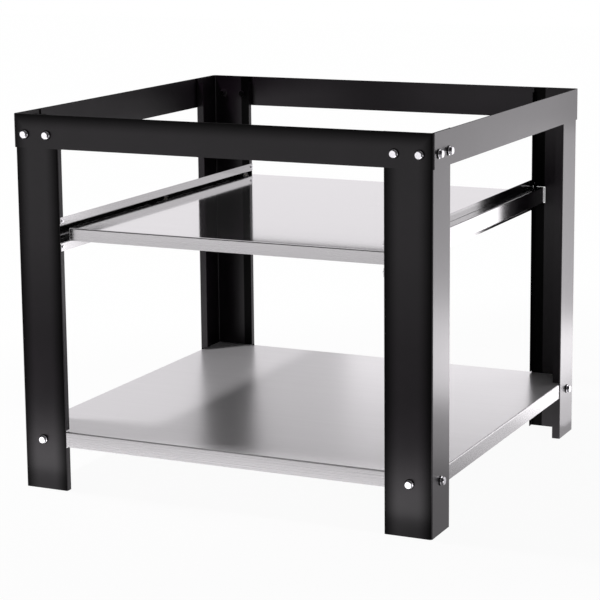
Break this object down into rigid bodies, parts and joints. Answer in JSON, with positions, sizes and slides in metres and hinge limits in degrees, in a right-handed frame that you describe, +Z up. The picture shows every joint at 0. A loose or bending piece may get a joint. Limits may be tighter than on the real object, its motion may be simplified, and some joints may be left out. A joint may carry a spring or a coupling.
{
  "type": "outdoor pizza oven table",
  "caption": "Square steel table with folded angle legs, a flat band round the top, a pull-out middle tray on rollers and a bolted bottom shelf.",
  "frame": {"origin": "on the floor under the middle of the table's box", "axes": "+X to the right, +Y to the back, +Z up; the tray pulls out at the front, along -Y"},
  "size_m": [1.0192, 0.9792, 0.855],
  "materials": {
    "black_coat": "black powder coat, satin",
    "shelf_steel": "stainless sheet, soft sheen",
    "tray_steel": "stainless sheet, bright polished top with brushed edges",
    "rail_steel": "stainless sheet, brushed",
    "zinc_plated": "bright zinc plate",
    "bearing_steel": "ground steel, black oxide",
    "cage_nylon": "natural nylon"
  },
  "bodies": {
    "stand": {"top_ring": "black_coat", "leg_front_left": "black_coat", "leg_front_right": "black_coat", "leg_back_left": "black_coat", "leg_back_right": "black_coat", "ring_nuts": "black_coat", "bottom_shelf": "shelf_steel", "shelf_stiffener_front": "shelf_steel", "shelf_stiffener_back": "shelf_steel", "side_rail_left": "rail_steel", "side_rail_right": "rail_steel", "ring_bolts": "zinc_plated", "shelf_bolts": "zinc_plated", "shelf_nuts": "zinc_plated", "rail_screws": "zinc_plated", "rail_nuts": "zinc_plated"},
    "tray": {"tray": "tray_steel", "tray_stiffener_front": "tray_steel", "tray_stiffener_back": "tray_steel", "roller_axles": "zinc_plated", "roller_axle_nuts": "zinc_plated", "roller_spacers": "zinc_plated", "roller_inner_rings": "bearing_steel"},
    "roller_front_left": {"roller_front_left": "bearing_steel"},
    "cage_front_left": {"roller_cage_front_left": "cage_nylon", "roller_balls_front_left": "bearing_steel"},
    "roller_front_right": {"roller_front_right": "bearing_steel"},
    "cage_front_right": {"roller_cage_front_right": "cage_nylon", "roller_balls_front_right": "bearing_steel"},
    "roller_back_left": {"roller_back_left": "bearing_steel"},
    "cage_back_left": {"roller_cage_back_left": "cage_nylon", "roller_balls_back_left": "bearing_steel"},
    "roller_back_right": {"roller_back_right": "bearing_steel"},
    "cage_back_right": {"roller_cage_back_right": "cage_nylon", "roller_balls_back_right": "bearing_steel"}
  },
  "joints": [
    {"name": "tray_slide", "type": "slide", "parent": "stand", "child": "tray", "axis": [0, -1, 0], "range_m": [-0.007, 0.475]},
    {"name": "roller_front_left_turn", "type": "hinge", "parent": "tray", "child": "roller_front_left", "pos_m": [-0.401, 0.02, 0.58855], "axis": [1, 0, 0], "continuous": true},
    {"name": "cage_front_left_turn", "type": "hinge", "parent": "tray", "child": "cage_front_left", "pos_m": [-0.401, 0.02, 0.58855], "axis": [1, 0, 0], "continuous": true},
    {"name": "roller_front_right_turn", "type": "hinge", "parent": "tray", "child": "roller_front_right", "pos_m": [0.401, 0.02, 0.58855], "axis": [1, 0, 0], "continuous": true},
    {"name": "cage_front_right_turn", "type": "hinge", "parent": "tray", "child": "cage_front_right", "pos_m": [0.401, 0.02, 0.58855], "axis": [1, 0, 0], "continuous": true},
    {"name": "roller_back_left_turn", "type": "hinge", "parent": "tray", "child": "roller_back_left", "pos_m": [-0.401, 0.45, 0.58855], "axis": [1, 0, 0], "continuous": true},
    {"name": "cage_back_left_turn", "type": "hinge", "parent": "tray", "child": "cage_back_left", "pos_m": [-0.401, 0.45, 0.58855], "axis": [1, 0, 0], "continuous": true},
    {"name": "roller_back_right_turn", "type": "hinge", "parent": "tray", "child": "roller_back_right", "pos_m": [0.401, 0.45, 0.58855], "axis": [1, 0, 0], "continuous": true},
    {"name": "cage_back_right_turn", "type": "hinge", "parent": "tray", "child": "cage_back_right", "pos_m": [0.401, 0.45, 0.58855], "axis": [1, 0, 0], "continuous": true}
  ],
  "couplings": [
    {"joint": "roller_front_left_turn", "follows": "tray_slide", "rad_per_m": 57.143},
    {"joint": "cage_front_left_turn", "follows": "tray_slide", "rad_per_m": 36.635},
    {"joint": "roller_front_right_turn", "follows": "tray_slide", "rad_per_m": 57.143},
    {"joint": "cage_front_right_turn", "follows": "tray_slide", "rad_per_m": 36.635},
    {"joint": "roller_back_left_turn", "follows": "tray_slide", "rad_per_m": 57.143},
    {"joint": "cage_back_left_turn", "follows": "tray_slide", "rad_per_m": 36.635},
    {"joint": "roller_back_right_turn", "follows": "tray_slide", "rad_per_m": 57.143},
    {"joint": "cage_back_right_turn", "follows": "tray_slide", "rad_per_m": 36.635}
  ]
}
